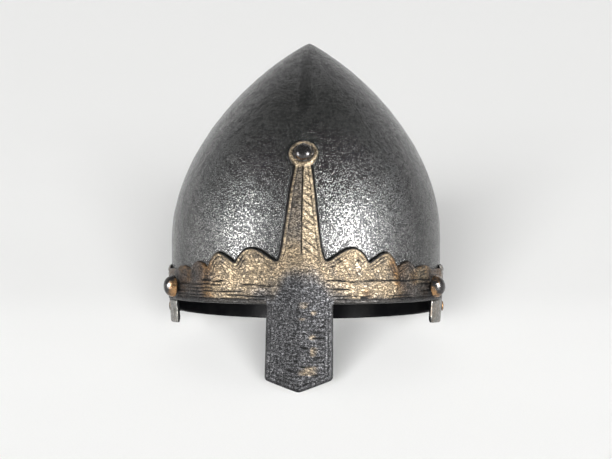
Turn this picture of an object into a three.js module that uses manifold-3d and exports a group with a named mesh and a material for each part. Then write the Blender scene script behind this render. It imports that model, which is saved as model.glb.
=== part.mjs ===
// A nasal helmet: a pointed steel skull, a scalloped brow band with a front bar and a nose guard, a raised
// neck band, and domed rivets. Millimetres, +Z up. The pieces are laid out in the helmet's own upright frame
// (front towards -Y, left ear towards -X, brow edge level) and the whole is then leaned back, so that it
// rests on a floor at Z = 0 by the tip of the nose guard and the back of the neck band.
import * as THREE from "three";
import { mergeVertices } from "three/addons/utils/BufferGeometryUtils.js";
import Module from "manifold-3d";

// Skull: an oval that keeps its width up to SHOULDER_Z and then closes in a pointed arch.
const HALF_WIDTH = 102.6;
const FRONT_LENGTH = 116;
const BACK_LENGTH = 120;
const APEX_Z = 213;
const SHOULDER_Z = 65;
const SKULL_EDGE_Z = 19.6;
const ARCH_FULLNESS = 1.92;
const ARCH_POINT = 0.85;
const SKULL_THICKNESS = 2;
const APEX_LEAN = 2.6;
const KEEL_RISE = 1.6;
const KEEL_WIDTH = 7;
const KEEL_FROM_Z = 130;

// Pieces that touch keep this gap.
const GAP = 0.3;

// Brow band: bottom bead, scalloped top edge, ends under the ear rivets.
const BAND_THICKNESS = 2;
const BAND_BOTTOM_Z = 18.6;
const BAND_END_DEG = 75.5;
const BAND_SIDE_TOP_Z = 41.5;
const BEAD_SHARE = 0.08;
const BEAD_RISE = 0.7;
// Each scallop: where it starts and ends, in degrees from the front, the height of the notch that it
// starts from, and its rise above the line between its notches.
const SCALLOPS = [
  { from: 9.8, to: 26.8, notch: 50.0, rise: 9.4 },
  { from: 26.8, to: 40.1, notch: 48.6, rise: 9.2 },
  { from: 40.1, to: 50.5, notch: 44.2, rise: 5.0 },
  { from: 50.5, to: 63.0, notch: 42.6, rise: 2.8 },
];
const SCALLOP_SKEW = 1.36;
const SCALLOP_ROUNDNESS = 0.8;

// Front bar: half-widths at heights, from the brow band up to the disc.
const BAR_BOTTOM_Z = 44;
const BAR_TOP_Z = 118;
const BAR_HALF_WIDTHS = [
  [19.5, 44],
  [16.6, 51],
  [15, 56],
  [11.9, 78],
  [9.5, 98],
  [6.4, 118],
];
const BAR_THICKNESS = 2.3;
const BAR_KEEL_RISE = 1;

// The bar and the nose guard are rolled a little off the band's inner face, so that they join it cleanly.
const PLATE_STAND_OFF = 0.02;

// Disc on the top end of the bar.
const DISC_RADIUS = 10;
const DISC_Z = 122;
const DISC_THICKNESS = 4.2;
const DISC_RIM = 2.2;
const DISC_DISH = 0.8;
const DISC_STAND_OFF = 0.5;

// Nose guard.
const NASAL_TOP_Z = 27;
const NASAL_CORNER_Z = -33.5;
const NASAL_TIP_DROP = 8.8;
const NASAL_HALF_WIDTH = 22.8;
const NASAL_FLARE = 0.8;
const NASAL_THICKNESS = 2.6;
const NASAL_RIDGE_RISE = 1;

// Neck band: its lower edge is a plane that falls towards the back, its flap ends stand beside the face.
const NECK_THICKNESS = 2.4;
const NECK_LEAST_THICKNESS = 0.9;
// Its inner face steps outwards under the skull's edge over this height.
const LEDGE_SLOPE = 0.1;
const FLAP_LEDGE_SHARE = 0.75;
const NECK_TOP_Z = 44;
const HEEL_Z = -4.92;
const FLAP_FALL = 0.041;
const NAPE_FALL = 0.124;
const RIM_STEP_LENGTH = 25;
const FLAP_FRONT_DEG = 65;
const FLAP_CORNER = 5;
const NECK_FRONT_DEG = 76;
const NECK_FRONT_STEP = 0.02;
const FLAP_TOP_Z = BAND_BOTTOM_Z - GAP;
const FLAP_RIVET_Z = 12;
const FLAP_STAND_OUT = 0.9;
// How far the band's outer face stands out from the skull's wall line, by height.
const NECK_PROFILE = [
  [0, 0],
  [0.4, 5],
  [FLAP_STAND_OUT, FLAP_RIVET_Z],
  [2, 30],
  [2.2, 41],
  [1.2, 44],
];

// Rivets: where each stands, the distance of its head's seat and of the wall's back face from the skull's
// outer face, and its head, shank and peened end.
const PEEN_HEIGHT = 1.2;
const PEEN_GAP = 0.7;
const HOLE_REACH = 15;
// The flat underside of an ear rivet's wide head clears the curved band by this much.
const EAR_HEAD_ROOM = 1.1;
const FRONT_RIVET = {
  degrees: 0,
  z: DISC_Z,
  seat: GAP + DISC_STAND_OFF + DISC_THICKNESS - DISC_DISH + GAP,
  wallBack: -SKULL_THICKNESS,
  head: 6.4,
  rise: 4.6,
  shank: 2.5,
  peen: 4,
};
const EAR_RIVET = {
  degrees: 63.5,
  z: 29,
  seat: GAP + BAND_THICKNESS + EAR_HEAD_ROOM + GAP,
  wallBack: -SKULL_THICKNESS,
  head: 8.2,
  rise: 7.8,
  shank: 3,
  peen: 5,
};
const SIDE_RIVET = {
  degrees: 91,
  z: FLAP_RIVET_Z,
  seat: FLAP_STAND_OUT + GAP,
  wallBack: FLAP_STAND_OUT - NECK_THICKNESS - GAP,
  head: 4,
  rise: 1.8,
  shank: 1.8,
  peen: 3,
};
const RIVETS = {
  front_rivet: FRONT_RIVET,
  ear_rivet_left: { ...EAR_RIVET, degrees: -EAR_RIVET.degrees },
  ear_rivet_right: EAR_RIVET,
  side_rivet_left: { ...SIDE_RIVET, degrees: -SIDE_RIVET.degrees },
  side_rivet_right: SIDE_RIVET,
};

// Where it rests: the back of the nose guard's tip and the heel of the neck band, each worn flat a little.
const REST_WEAR = 0.35;
const FLOOR_SIZE = 500;
const TIP = new THREE.Vector3(0, -FRONT_LENGTH - GAP, NASAL_CORNER_Z - NASAL_TIP_DROP);
const HEEL = new THREE.Vector3(0, BACK_LENGTH, HEEL_Z);

const DEG = Math.PI / 180;
const UP = new THREE.Vector3(0, 0, 1);

// ---- Solids ----

const wasm = await Module();
wasm.setup();

function solidFrom(geometry) {
  const bare = geometry.index ? geometry.toNonIndexed() : geometry.clone();
  bare.deleteAttribute("normal");
  bare.deleteAttribute("uv");
  const merged = mergeVertices(bare, 1e-4);
  return new wasm.Manifold(
    new wasm.Mesh({
      numProp: 3,
      vertProperties: new Float32Array(merged.attributes.position.array),
      triVerts: new Uint32Array(merged.index.array),
    }),
  );
}

function geometryFrom(solid) {
  const mesh = solid.getMesh();
  const points = new Float32Array(mesh.numVert * 3);
  for (let i = 0; i < mesh.numVert; i += 1) {
    const start = i * mesh.numProp;
    points.set(mesh.vertProperties.subarray(start, start + 3), i * 3);
  }
  const indexed = new THREE.BufferGeometry();
  indexed.setAttribute("position", new THREE.BufferAttribute(points, 3));
  indexed.setIndex(new THREE.BufferAttribute(new Uint32Array(mesh.triVerts), 1));
  const flat = indexed.toNonIndexed();
  flat.computeVertexNormals();
  return flat;
}

// A closed plate between two sheets of points, each a list of rows, its outer sheet seen from outside with
// rows going up and columns going left to right.
function plateBetween(outer, inner) {
  const rows = outer.length;
  const columns = outer[0].length;
  const positions = [...outer.flat(), ...inner.flat()].flatMap((p) => p.toArray());
  const out = (row, column) => row * columns + column;
  const back = (row, column) => rows * columns + out(row, column);
  const index = [];
  const quad = (a, b, c, d) => index.push(a, b, c, a, c, d);
  for (let row = 0; row < rows - 1; row += 1) {
    for (let column = 0; column < columns - 1; column += 1) {
      quad(out(row, column), out(row, column + 1), out(row + 1, column + 1), out(row + 1, column));
      quad(back(row, column), back(row + 1, column), back(row + 1, column + 1), back(row, column + 1));
    }
    quad(back(row, 0), out(row, 0), out(row + 1, 0), back(row + 1, 0));
    const last = columns - 1;
    quad(out(row, last), back(row, last), back(row + 1, last), out(row + 1, last));
  }
  for (let column = 0; column < columns - 1; column += 1) {
    quad(back(0, column), back(0, column + 1), out(0, column + 1), out(0, column));
    const top = rows - 1;
    quad(out(top, column), out(top, column + 1), back(top, column + 1), back(top, column));
  }
  return closedGeometry(positions, index);
}

function closedGeometry(positions, index) {
  const geometry = new THREE.BufferGeometry();
  geometry.setAttribute("position", new THREE.Float32BufferAttribute(positions, 3));
  geometry.setIndex(index);
  return geometry;
}

// A list of values between two ends, both included.
function steps(from, to, count) {
  return Array.from({ length: count + 1 }, (_, i) => from + ((to - from) * i) / count);
}

// The first value of a table of [value, height] pairs at a height, along straight lines.
function alongTable(table, height) {
  const last = table.length - 1;
  if (height <= table[0][1]) return table[0][0];
  if (height >= table[last][1]) return table[last][0];
  const i = table.findIndex((pair) => pair[1] > height);
  const [lowValue, low] = table[i - 1];
  const [highValue, high] = table[i];
  return lowValue + ((highValue - lowValue) * (height - low)) / (high - low);
}

// ---- The skull's surface ----

// The half-width of the skull at a height.
function halfWidth(z) {
  const rise = Math.max(0, (z - SHOULDER_Z) / (APEX_Z - SHOULDER_Z));
  return HALF_WIDTH * (1 - Math.min(1, rise) ** ARCH_FULLNESS) ** ARCH_POINT;
}

// The point of the skull's outer face at an angle from the front, towards the right, and a height.
function skullPoint(angle, z) {
  const width = halfWidth(z);
  const reach = Math.cos(angle) > 0 ? FRONT_LENGTH : BACK_LENGTH;
  const point = new THREE.Vector3(
    width * Math.sin(angle),
    (-width * reach * Math.cos(angle)) / HALF_WIDTH,
    z,
  );
  const aside = Math.abs(point.x) / KEEL_WIDTH;
  if (Math.cos(angle) > 0 && z > KEEL_FROM_Z) {
    const fade = Math.min(1, (z - KEEL_FROM_Z) / 40) * Math.min(1, (APEX_Z - z) / 6);
    point.y -= KEEL_RISE * fade * Math.exp(-aside * aside);
  }
  const climb = Math.max(0, (z - SHOULDER_Z) / (APEX_Z - SHOULDER_Z));
  point.x += APEX_LEAN * climb;
  return point;
}

// The outward normal of the smooth skull there.
function skullNormal(angle, z) {
  const turn = 0.01;
  const lift = 0.2;
  const low = Math.min(z, APEX_Z - 2);
  const across = skullPoint(angle + turn, low).sub(skullPoint(angle - turn, low));
  const up = skullPoint(angle, low + lift).sub(skullPoint(angle, low - lift));
  return across.cross(up).normalize();
}

function offSkull(angle, z, distance) {
  return skullPoint(angle, z).addScaledVector(skullNormal(angle, z), distance);
}

// The angle at which the skull is a given distance to the right of its centre line, at a height.
function angleAcross(x, z) {
  return Math.asin(THREE.MathUtils.clamp(x / halfWidth(z), -1, 1));
}

// ---- Pieces ----

function makeSkull() {
  const columns = 60;
  const rows = 16;
  const positions = [];
  const index = [];
  const heights = steps(0, 1, rows)
    .slice(0, rows)
    .map((v) => SKULL_EDGE_Z + (APEX_Z - SKULL_EDGE_Z) * (1 - (1 - v) ** 1.35));
  for (const distance of [0, -SKULL_THICKNESS]) {
    for (const z of heights) {
      for (let column = 0; column < columns; column += 1) {
        const point = offSkull((column / columns) * 2 * Math.PI, z, distance);
        if (z === SKULL_EDGE_Z) point.z = SKULL_EDGE_Z;
        positions.push(...point.toArray());
      }
    }
    positions.push(APEX_LEAN, 0, APEX_Z + distance * 1.5);
  }
  const sheet = rows * columns + 1;
  const at = (side, row, column) => side * sheet + row * columns + (column % columns);
  for (let column = 0; column < columns; column += 1) {
    const next = column + 1;
    for (let row = 0; row < rows - 1; row += 1) {
      const a = at(0, row, column);
      const b = at(0, row, next);
      const c = at(0, row + 1, next);
      const d = at(0, row + 1, column);
      index.push(a, b, c, a, c, d);
      const e = at(1, row, column);
      const f = at(1, row, next);
      const g = at(1, row + 1, next);
      const h = at(1, row + 1, column);
      index.push(e, g, f, e, h, g);
    }
    index.push(at(0, rows - 1, column), at(0, rows - 1, next), sheet - 1);
    index.push(at(1, rows - 1, next), at(1, rows - 1, column), 2 * sheet - 1);
    const outerNow = at(0, 0, column);
    const outerNext = at(0, 0, next);
    const innerNow = at(1, 0, column);
    const innerNext = at(1, 0, next);
    index.push(innerNow, innerNext, outerNext, innerNow, outerNext, outerNow);
  }
  return solidFrom(closedGeometry(positions, index));
}

// The height of the brow band's top edge at an angle, in degrees, from the front.
function bandTop(degrees) {
  const angle = Math.abs(degrees);
  const lobe = SCALLOPS.findIndex((s) => angle >= s.from && angle < s.to);
  if (lobe < 0) return angle < SCALLOPS[0].from ? SCALLOPS[0].notch : BAND_SIDE_TOP_Z;
  const { from, to, notch, rise } = SCALLOPS[lobe];
  const next = lobe + 1 < SCALLOPS.length ? SCALLOPS[lobe + 1].notch : BAND_SIDE_TOP_Z;
  const share = (angle - from) / (to - from);
  const arch = Math.sin(Math.PI * share ** SCALLOP_SKEW) ** SCALLOP_ROUNDNESS;
  return notch + (next - notch) * share + rise * arch;
}

function makeBand() {
  const half = [0, 5];
  for (const { from, to } of SCALLOPS) {
    half.push(...steps(from, to, 8).slice(0, 8));
  }
  half.push(SCALLOPS[SCALLOPS.length - 1].to, 67, 71, BAND_END_DEG);
  const degrees = [...half.slice(1).reverse().map((d) => -d), ...half];
  const shares = [0, BEAD_SHARE, 0.5, 1];
  const sheet = (distance, bead) =>
    shares.map((share) =>
      degrees.map((d) => {
        const z = BAND_BOTTOM_Z + (bandTop(d) - BAND_BOTTOM_Z) * share;
        return offSkull(d * DEG, z, distance + (share === 0 ? bead : 0));
      }),
    );
  return solidFrom(plateBetween(sheet(GAP + BAND_THICKNESS, BEAD_RISE), sheet(GAP, 0)));
}

// A plate on the front of the skull, from a low to a high edge: halfAt gives its half-width at a height,
// dropAt how far its low edge drops at a share of the width, and ridge how much its middle stands out.
function frontPlate({ low, high, rows, columns, halfAt, thickness, ridge, dropAt = () => 0 }) {
  const sheet = (face) =>
    steps(low, high, rows).map((height) =>
      steps(-1, 1, columns).map((u) => {
        const z = height - dropAt(u) * ((high - height) / (high - low)) ** 2;
        const wall = Math.max(z, SKULL_EDGE_Z);
        const middle = ridge * (1 - Math.abs(u)) ** 2;
        const distance = GAP + PLATE_STAND_OFF + face * (thickness + middle);
        const point = offSkull(angleAcross(u * halfAt(height), wall), wall, distance);
        point.z += z - wall;
        return point;
      }),
    );
  return solidFrom(plateBetween(sheet(1), sheet(0)));
}

function makeBar() {
  return frontPlate({
    low: BAR_BOTTOM_Z,
    high: BAR_TOP_Z,
    rows: 12,
    columns: 6,
    halfAt: (z) => alongTable(BAR_HALF_WIDTHS, z),
    thickness: BAR_THICKNESS,
    ridge: BAR_KEEL_RISE,
  });
}

function makeNasal() {
  const length = NASAL_TOP_Z - NASAL_CORNER_Z;
  return frontPlate({
    low: NASAL_CORNER_Z,
    high: NASAL_TOP_Z,
    rows: 8,
    columns: 8,
    halfAt: (z) => NASAL_HALF_WIDTH + (NASAL_FLARE * (NASAL_TOP_Z - z)) / length,
    thickness: NASAL_THICKNESS,
    ridge: NASAL_RIDGE_RISE,
    dropAt: (u) => NASAL_TIP_DROP * (1 - Math.abs(u)),
  });
}

// A turned shape stood on the skull at an angle and a height, its own axis along the outward normal.
function onSkull(geometry, degrees, z, distance) {
  const turn = new THREE.Quaternion().setFromUnitVectors(UP, skullNormal(degrees * DEG, z));
  const place = offSkull(degrees * DEG, z, distance);
  return geometry.applyMatrix4(new THREE.Matrix4().compose(place, turn, new THREE.Vector3(1, 1, 1)));
}

// A solid of revolution about Z from [radius, height] pairs that start and end on the axis, going up.
function turned(profile, sides) {
  const points = profile.map(([radius, height]) => new THREE.Vector2(radius, height));
  return new THREE.LatheGeometry(points, sides).rotateX(Math.PI / 2);
}

function makeDisc() {
  const floor = DISC_THICKNESS - DISC_DISH;
  const profile = [
    [0, 0],
    [DISC_RADIUS, 0],
    [DISC_RADIUS, floor],
    [DISC_RADIUS - DISC_RIM / 2, DISC_THICKNESS],
    [DISC_RADIUS - DISC_RIM, floor],
    [0, floor],
  ];
  return solidFrom(onSkull(turned(profile, 28), 0, DISC_Z, GAP + DISC_STAND_OFF));
}

function makeBrowBand() {
  return makeBand().add(makeBar()).add(makeNasal()).add(makeDisc());
}

// The height of the neck band's lower edge at a distance behind the middle: the flaps hang low in front,
// and behind them the edge steps up and falls again towards the heel.
function rimZ(y) {
  const behind = THREE.MathUtils.smoothstep(y, 0, RIM_STEP_LENGTH);
  const flap = -FLAP_FALL * y;
  const nape = HEEL_Z + NAPE_FALL * (BACK_LENGTH - y);
  return flap + (nape - flap) * behind;
}

// How far the flap's rounded front corner lifts the lower edge at an angle.
function cornerLift(degrees) {
  const fromEnd = (degrees - FLAP_FRONT_DEG) * DEG * FRONT_LENGTH;
  const reach = THREE.MathUtils.clamp(FLAP_CORNER - fromEnd, 0, FLAP_CORNER);
  return FLAP_CORNER - Math.sqrt(FLAP_CORNER ** 2 - reach ** 2);
}

function makeNeckBand() {
  const end = [0, 0.4, 1.2, 2.4, 6.5].map((d) => FLAP_FRONT_DEG + d);
  end.push(NECK_FRONT_DEG - NECK_FRONT_STEP);
  const around = steps(NECK_FRONT_DEG, 360 - NECK_FRONT_DEG, 44);
  const degrees = [...end, ...around, ...end.map((d) => 360 - d).reverse()];
  const lowerRows = [0, 0.2, 0.5, 1].map((share) => [false, share]);
  const upperRows = [0, 0.4, 0.85, 1].map((share) => [true, share]);
  const rows = [...lowerRows, ...upperRows];
  const sheet = (isOuter) =>
    rows.map(([isUpper, part]) =>
      degrees.map((d) => {
        const fromFront = Math.min(d, 360 - d);
        const isTall = fromFront >= NECK_FRONT_DEG;
        const top = isTall ? NECK_TOP_Z : FLAP_TOP_Z;
        const ledge = isTall ? SKULL_EDGE_Z - 2 * GAP : FLAP_TOP_Z * FLAP_LEDGE_SHARE;
        const rim = rimZ(skullPoint(d * DEG, SKULL_EDGE_Z).y);
        const low = rim + cornerLift(fromFront);
        const foot = isUpper ? ledge + LEDGE_SLOPE : low;
        const z = foot + ((isUpper ? top : ledge) - foot) * part;
        const overSkull = isUpper && fromFront >= NECK_FRONT_DEG - NECK_FRONT_STEP;
        const standOut = alongTable(NECK_PROFILE, z - (rim * (top - z)) / (top - low));
        const face = overSkull ? Math.max(standOut, GAP + NECK_LEAST_THICKNESS) : standOut;
        const back = overSkull ? GAP : standOut - NECK_THICKNESS;
        return offSkull(d * DEG, z, isOuter ? face : back);
      }),
    );
  return solidFrom(plateBetween(sheet(true), sheet(false)));
}

// A rivet: a domed head whose flat seat is at height 0, a shank, and a peened end inside the wall, whose
// back is a grip below the seat.
function makeRivet({ degrees, z, seat, wallBack, head, rise, shank, peen }) {
  const low = wallBack - PEEN_GAP - seat;
  const dome = steps(0, 90, 6).map((d) => [head * Math.cos(d * DEG), rise * Math.sin(d * DEG)]);
  dome[dome.length - 1][0] = 0;
  const profile = [
    [0, low - PEEN_HEIGHT],
    [peen - PEEN_HEIGHT, low - PEEN_HEIGHT],
    [peen, low],
    [shank, low],
    [shank, 0],
    ...dome,
  ];
  return solidFrom(onSkull(turned(profile, 20), degrees, z, seat));
}

function shankHole({ degrees, z, shank }) {
  const radius = shank + GAP;
  const profile = [
    [0, -HOLE_REACH],
    [radius, -HOLE_REACH],
    [radius, HOLE_REACH],
    [0, HOLE_REACH],
  ];
  return solidFrom(onSkull(turned(profile, 16), degrees, z, 0));
}

// The floor as the helmet's own frame sees it: a slab under the line from the back of the nose guard's tip
// to the heel of the neck band, raised by the wear.
function makeFloor(lean) {
  const slab = new THREE.BoxGeometry(FLOOR_SIZE, FLOOR_SIZE, FLOOR_SIZE);
  slab.translate(0, 0, REST_WEAR - FLOOR_SIZE / 2).rotateX(lean).translate(0, HEEL.y, HEEL.z);
  return solidFrom(slab);
}

// ---- Assembly ----

const STEEL = { color: 0x4a4a4c, roughness: 0.42, metalness: 0.9 };
const COPPER = { color: 0x8a6a48, roughness: 0.45, metalness: 0.9 };
const AGED_STEEL = { color: 0x6a6258, roughness: 0.5, metalness: 0.85 };
const DARK_STEEL = { color: 0x3a3634, roughness: 0.3, metalness: 0.95 };

const helmet = new THREE.Group();

function addPiece(name, solid, material) {
  const mesh = new THREE.Mesh(geometryFrom(solid), new THREE.MeshStandardMaterial(material));
  mesh.name = name;
  helmet.add(mesh);
}

const lean = Math.atan2(HEEL.z - TIP.z, HEEL.y - TIP.y);
const floor = makeFloor(lean);
const rivets = Object.entries(RIVETS);
const drilled = (solid) => rivets.reduce((left, [, rivet]) => left.subtract(shankHole(rivet)), solid);

addPiece("skull", drilled(makeSkull()), STEEL);
addPiece("brow_band", drilled(makeBrowBand()).subtract(floor), COPPER);
addPiece("neck_band", drilled(makeNeckBand()).subtract(floor), AGED_STEEL);
for (const [name, rivet] of rivets) {
  addPiece(name, makeRivet(rivet), DARK_STEEL);
}

// Leant back onto the floor, with the origin under the middle of the whole.
helmet.rotation.x = -lean;
const box = new THREE.Box3().setFromObject(helmet, true);
const middle = box.getCenter(new THREE.Vector3());
helmet.position.set(-middle.x, -middle.y, -box.min.z);
helmet.updateMatrixWorld(true);

export default helmet;
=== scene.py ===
"""A nasal helmet resting on a pale floor: its visible surfaces, materials, lights and camera.

The surfaces are worked out in millimetres in the helmet's own upright frame (front towards -Y, brow edge
level) and then leant back onto the floor, in metres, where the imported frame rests."""
import math

import bpy
import numpy as np
from mathutils import Matrix, Vector
from mathutils.kdtree import KDTree


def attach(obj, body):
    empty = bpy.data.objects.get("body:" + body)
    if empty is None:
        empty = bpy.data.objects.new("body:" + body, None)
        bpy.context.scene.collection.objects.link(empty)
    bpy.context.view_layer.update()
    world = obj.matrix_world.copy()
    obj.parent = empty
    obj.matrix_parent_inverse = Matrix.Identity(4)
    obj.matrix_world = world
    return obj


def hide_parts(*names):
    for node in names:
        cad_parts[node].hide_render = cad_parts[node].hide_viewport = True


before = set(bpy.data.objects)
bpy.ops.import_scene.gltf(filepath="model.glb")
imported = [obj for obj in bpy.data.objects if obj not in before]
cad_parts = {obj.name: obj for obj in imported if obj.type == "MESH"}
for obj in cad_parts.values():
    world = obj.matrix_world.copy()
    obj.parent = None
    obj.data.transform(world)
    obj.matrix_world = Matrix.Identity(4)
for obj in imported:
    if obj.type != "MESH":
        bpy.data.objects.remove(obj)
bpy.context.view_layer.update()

# ---- The helmet's sizes, in millimetres and degrees, in its own upright frame ----

HALF_WIDTH, FRONT_LENGTH, BACK_LENGTH = 102.6, 116.0, 120.0
APEX_Z, SHOULDER_Z, SKULL_EDGE_Z = 213.0, 65.0, 19.6
ARCH_FULLNESS, ARCH_POINT = 1.92, 0.85
APEX_LEAN = 2.6
KEEL_RISE, KEEL_WIDTH, KEEL_FROM_Z, KEEL_FADE = 1.6, 7.0, 130.0, 40.0
SKULL_THICKNESS = 2.0
POINT_OUTSIDE_Z, POINT_INSIDE_Z = APEX_Z - 0.4, APEX_Z - 3.4
GAP = 0.3

BAND_BOTTOM_Z, BAND_END_DEG, BAND_SIDE_TOP_Z = 18.6, 75.5, 41.5
BAND_THICKNESS = 2.0
SCALLOPS = [(9.8, 26.8, 50.0, 9.4), (26.8, 40.1, 48.6, 9.2), (40.1, 50.5, 44.2, 5.0), (50.5, 63.0, 42.6, 2.8)]
SCALLOP_SKEW, SCALLOP_ROUNDNESS = 1.36, 0.8
BAR_HEIGHTS = [44, 51, 56, 78, 98, 118]
BAR_HALF_WIDTHS = [19.5, 16.6, 15.0, 11.9, 9.5, 6.4]
DISC_RADIUS, DISC_Z, DISC_SLOPE_SHARE = 10.0, 122.0, 0.88
NASAL_CORNER_Z, NASAL_TIP_DROP, NASAL_TOP_Z = -33.5, 8.8, 27.0
NASAL_HALF_WIDTH, NASAL_FLARE = 22.8, 0.8
NASAL_BLUNTNESS, NASAL_CORNER = 0.004, 2.0

HEEL_Z, FLAP_FALL, NAPE_FALL, RIM_STEP_LENGTH = -4.92, 0.041, 0.124, 25.0
FLAP_FRONT_DEG, NECK_FRONT_DEG, FLAP_CORNER = 65.0, 76.0, 5.0
NECK_TOP_Z, NECK_THICKNESS = 44.0, 2.4
NECK_GRID_Z = -6.5  # below the whole of the lower edge
NECK_HEIGHTS = [0, 5, 12, 30, 41, 44]
NECK_STAND_OUT = [0, 0.4, 0.9, 2.0, 2.2, 1.2]

TIP_Y, TIP_Z = -FRONT_LENGTH - GAP, NASAL_CORNER_Z - NASAL_TIP_DROP
HEEL_Y = BACK_LENGTH
LEAN = math.atan2(HEEL_Z - TIP_Z, HEEL_Y - TIP_Y)

# Dents in the skull, each layer as its depth, breadth and a shift of the noise.
SKULL_DENTS = [(0.25, 7.0, 0.0), (0.16, 3.4, 9.5), (0.3, 34, 3.3)]
SKULL_COLUMNS, SKULL_ROWS, SKULL_INNER_ROWS = 360, 190, 60
# Grid spacing of the two plates, and spacing of the points along their outlines.
BAND_STEP, NECK_STEP = 0.62, 0.8
BAND_OUTLINE_STEP, NECK_OUTLINE_STEP = 0.12, 0.15
# Heights of the long cuts near the brow band's lower edge.
LEVEL_CUTS = [24.2, 26.6, 29.0, 31.6, 34.4]
DISC_FACE, DISC_RIM_WIDTH, DISC_RIM_RISE = GAP + 0.5 + 3.4, 1.2, 0.8

# Each rivet's place, how far its seat and the back of its wall stand off the skull's outer face, the radius
# and rise of its head, and the radii of its shank and its peened end.
FRONT_RIVET = {
    "degrees": 0,
    "z": DISC_Z,
    "seat": 4.5,
    "wall_back": -2,
    "head": 6.4,
    "rise": 4.6,
    "shank": 2.5,
    "peen": 4,
}
EAR_RIVET = {
    "degrees": 63.5,
    "z": 29,
    "seat": 3.7,
    "wall_back": -2,
    "head": 8.2,
    "rise": 7.8,
    "shank": 3,
    "peen": 5,
}
SIDE_RIVET = {
    "degrees": 91,
    "z": 12,
    "seat": 1.2,
    "wall_back": -1.8,
    "head": 4,
    "rise": 1.8,
    "shank": 1.8,
    "peen": 3,
}
RIVET_SIDES, HEAD_ROUNDNESS, HEAD_LIP = 64, 0.9, 0.35
PEEN_GAP, PEEN_HEIGHT = 0.7, 1.2

MM = 0.001


def leant_frame():
    """The matrix from the helmet's own frame, in metres, to the floor's, found by the point of the skull."""
    turn = Matrix.Rotation(-LEAN, 4, "X")
    up = np.array((turn @ Vector((0, 0, 1))).to_tuple())
    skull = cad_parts["skull"].data
    points = np.empty(len(skull.vertices) * 3)
    skull.vertices.foreach_get("co", points)
    points = points.reshape(-1, 3)
    apex = Vector(points[np.argmax(points @ up)])
    own_apex = turn @ (Vector((APEX_LEAN, 0, APEX_Z)) * MM)
    return Matrix.Translation(apex - own_apex) @ turn


PLACE = leant_frame()


def to_floor(points):
    """Points of the helmet's own frame, in millimetres, as points on the floor's frame, in metres."""
    matrix = np.array(PLACE)
    return points * MM @ matrix[:3, :3].T + matrix[:3, 3]


# ---- The skull's surface ----


def half_width(z):
    rise = np.clip((z - SHOULDER_Z) / (APEX_Z - SHOULDER_Z), 0, 1)
    return HALF_WIDTH * (1 - rise**ARCH_FULLNESS) ** ARCH_POINT


def skull_point(angle, z):
    """Points of the skull's outer face at angles from the front, towards the right, and heights."""
    width = half_width(z)
    reach = np.where(np.cos(angle) > 0, FRONT_LENGTH, BACK_LENGTH)
    x = width * np.sin(angle)
    y = -width * reach * np.cos(angle) / HALF_WIDTH
    fade = np.clip((z - KEEL_FROM_Z) / KEEL_FADE, 0, 1) * np.clip((APEX_Z - z) / 6, 0, 1)
    fade = fade * (np.cos(angle) > 0)
    y = y - KEEL_RISE * fade * np.exp(-((x / KEEL_WIDTH) ** 2))
    x = x + APEX_LEAN * np.clip((z - SHOULDER_Z) / (APEX_Z - SHOULDER_Z), 0, None)
    return np.stack([x, y, z + 0 * x], -1)


def skull_normal(angle, z):
    low = np.minimum(z, APEX_Z - 2)
    across = skull_point(angle + 0.01, low) - skull_point(angle - 0.01, low)
    up = skull_point(angle, low + 0.2) - skull_point(angle, low - 0.2)
    normal = np.cross(across, up)
    return normal / np.linalg.norm(normal, axis=-1, keepdims=True)


def off_skull(angle, z, distance):
    return skull_point(angle, z) + skull_normal(angle, z) * np.asarray(distance)[..., None]


ARC_ANGLES = np.linspace(0, 2 * math.pi, 1441)
ARC_POINTS = skull_point(ARC_ANGLES, np.full_like(ARC_ANGLES, SKULL_EDGE_Z))
ARC_LENGTHS = np.concatenate([[0], np.cumsum(np.linalg.norm(np.diff(ARC_POINTS, axis=0), axis=1))])


def angle_at(arc, z):
    """The angle at a distance round the skull's lower wall from the front; higher up, straight above it."""
    base = np.sign(arc) * np.interp(np.abs(arc), ARC_LENGTHS, ARC_ANGLES)
    above = np.arcsin(np.clip(HALF_WIDTH * np.sin(base) / half_width(z), -1, 1))
    return np.where(z > SHOULDER_Z, above, base)


def arc_at(degrees):
    """The distance round the skull's lower wall at an angle, in degrees, from the front."""
    return np.sign(degrees) * np.interp(np.abs(degrees), np.degrees(ARC_ANGLES), ARC_LENGTHS)


# ---- Noise and curves ----

LATTICE = np.random.default_rng(7).random((64, 64, 64)) * 2 - 1


def noise(points, size, shift=0.0):
    """Smooth noise from -1 to 1 whose lumps are about size millimetres across."""
    place = points / size + shift
    cell = np.floor(place).astype(int)
    part = place - cell
    part = part * part * (3 - 2 * part)
    total = 0
    for corner in np.ndindex(2, 2, 2):
        weight = np.prod(np.where(np.array(corner) == 1, part, 1 - part), axis=-1)
        index = (cell + corner) & 63
        total = total + weight * LATTICE[index[..., 0], index[..., 1], index[..., 2]]
    return total


def ease(value, low, high):
    """0 below low, 1 above high, smooth between; low may be the larger."""
    share = np.clip((value - low) / (high - low), 0, 1)
    return share * share * (3 - 2 * share)


def groove(value, centre, width):
    """1 at a line, falling to 0 over its width."""
    return np.exp(-(((value - centre) / width) ** 2))


# ---- Mesh making ----


def add_mesh(name, points, faces, material, attributes=None):
    """A smooth-shaded piece from points in the helmet's own frame, riding on the root body."""
    mesh = bpy.data.meshes.new(name)
    mesh.from_pydata(to_floor(points).tolist(), [], faces)
    mesh.polygons.foreach_set("use_smooth", [True] * len(mesh.polygons))
    for key, values in (attributes or {}).items():
        layer = mesh.attributes.new(key, "FLOAT", "POINT")
        layer.data.foreach_set("value", np.asarray(values, dtype=np.float32))
    for each in material if isinstance(material, list) else [material]:
        mesh.materials.append(each)
    piece = bpy.data.objects.new(name, mesh)
    bpy.context.scene.collection.objects.link(piece)
    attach(piece, "root")
    return piece


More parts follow.
